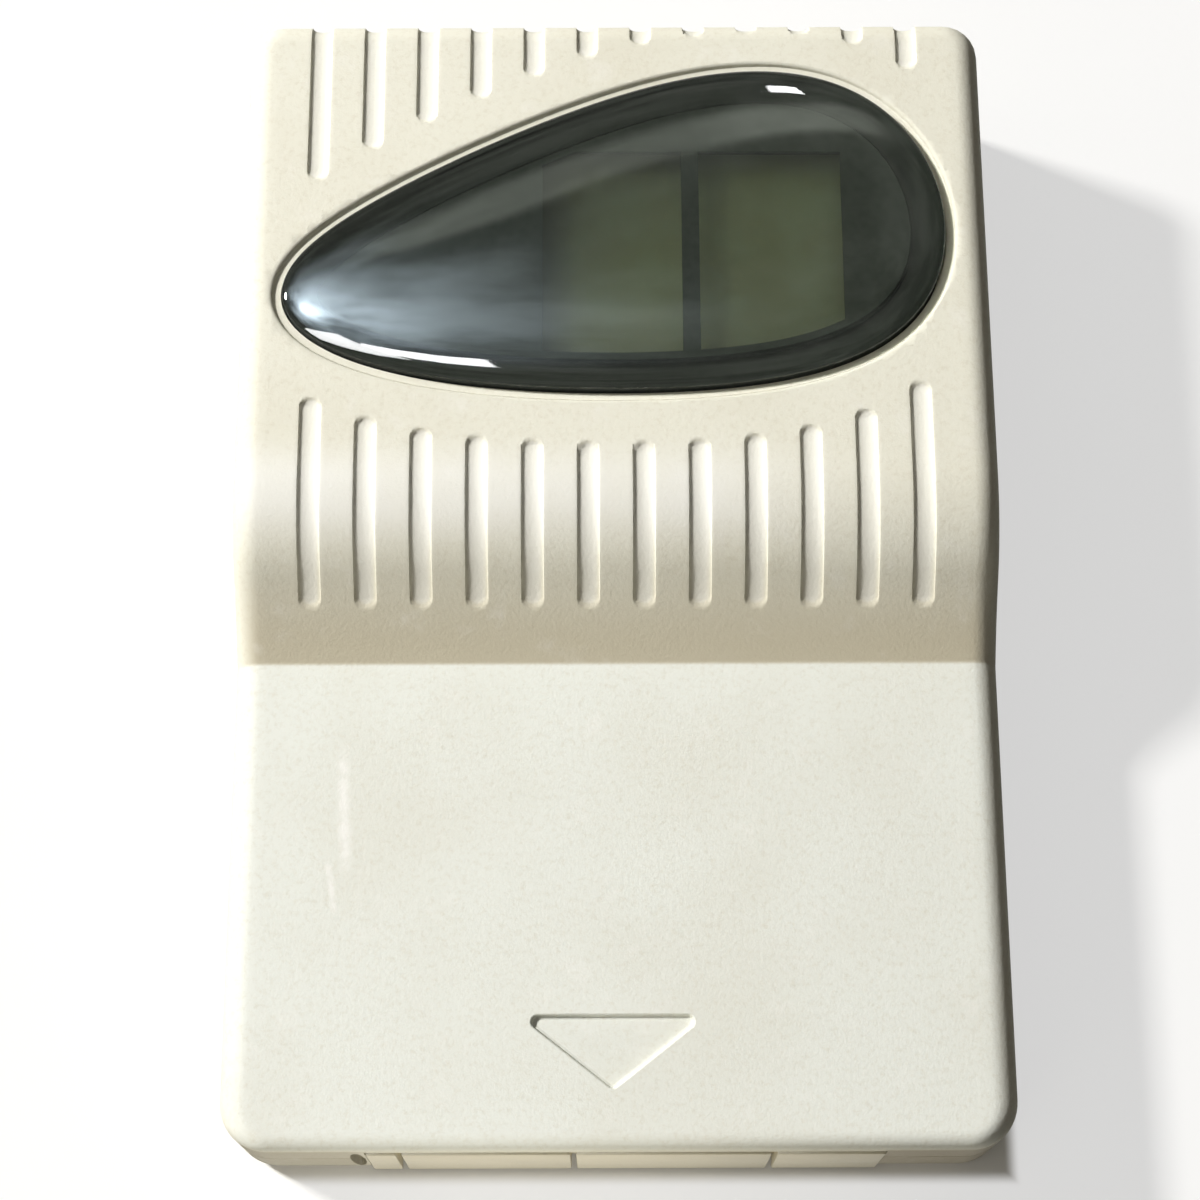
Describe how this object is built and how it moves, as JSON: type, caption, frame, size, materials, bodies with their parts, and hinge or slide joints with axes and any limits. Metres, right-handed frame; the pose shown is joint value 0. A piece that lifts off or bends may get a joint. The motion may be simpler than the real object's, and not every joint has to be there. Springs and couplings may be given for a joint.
{
  "type": "console memory card",
  "caption": "Plug-in memory card for a games console, with a grooved handle, a domed teardrop window over its display and a flat connector end.",
  "frame": {"origin": "middle of the back, on the surface that the card lies on", "axes": "+X to the card's right, +Y from the connector end to the handle end, +Z out of the back towards the display"},
  "size_m": [0.042, 0.064, 0.0137],
  "materials": {
    "case_plastic": "fine moulded texture",
    "lens_plastic": "polished, dark green smoke tint",
    "mask_print": "printed film",
    "display_glass": "polished",
    "display_film": "satin film",
    "holder_plastic": "moulded",
    "contact_rubber": "matte",
    "board_laminate": "solder resist",
    "block_plastic": "moulded",
    "contact_metal": "gold plated",
    "chip_epoxy": "moulded epoxy",
    "can_metal": "drawn",
    "capacitor_ceramic": "fired",
    "screw_steel": "zinc plated"
  },
  "bodies": {
    "root": {"front_shell": "case_plastic", "rear_shell": "case_plastic", "display_lens": "lens_plastic", "display_mask": "mask_print", "lcd_front_polariser": "display_film", "lcd_front_glass": "display_glass", "lcd_rear_glass": "display_glass", "lcd_reflector": "display_film", "display_holder": "holder_plastic", "zebra_strip": "contact_rubber", "circuit_board": "board_laminate", "contact_block": "block_plastic", "contact_1": "contact_metal", "contact_2": "contact_metal", "contact_3": "contact_metal", "contact_4": "contact_metal", "contact_5": "contact_metal", "contact_6": "contact_metal", "contact_7": "contact_metal", "contact_8": "contact_metal", "memory_chip": "chip_epoxy", "controller_chip": "chip_epoxy", "display_driver": "chip_epoxy", "crystal": "can_metal", "capacitor_1": "capacitor_ceramic", "capacitor_2": "capacitor_ceramic", "capacitor_3": "capacitor_ceramic", "resistor_1": "chip_epoxy", "resistor_2": "chip_epoxy", "resistor_3": "chip_epoxy", "screw_left": "screw_steel", "screw_right": "screw_steel"}
  },
  "joints": []
}
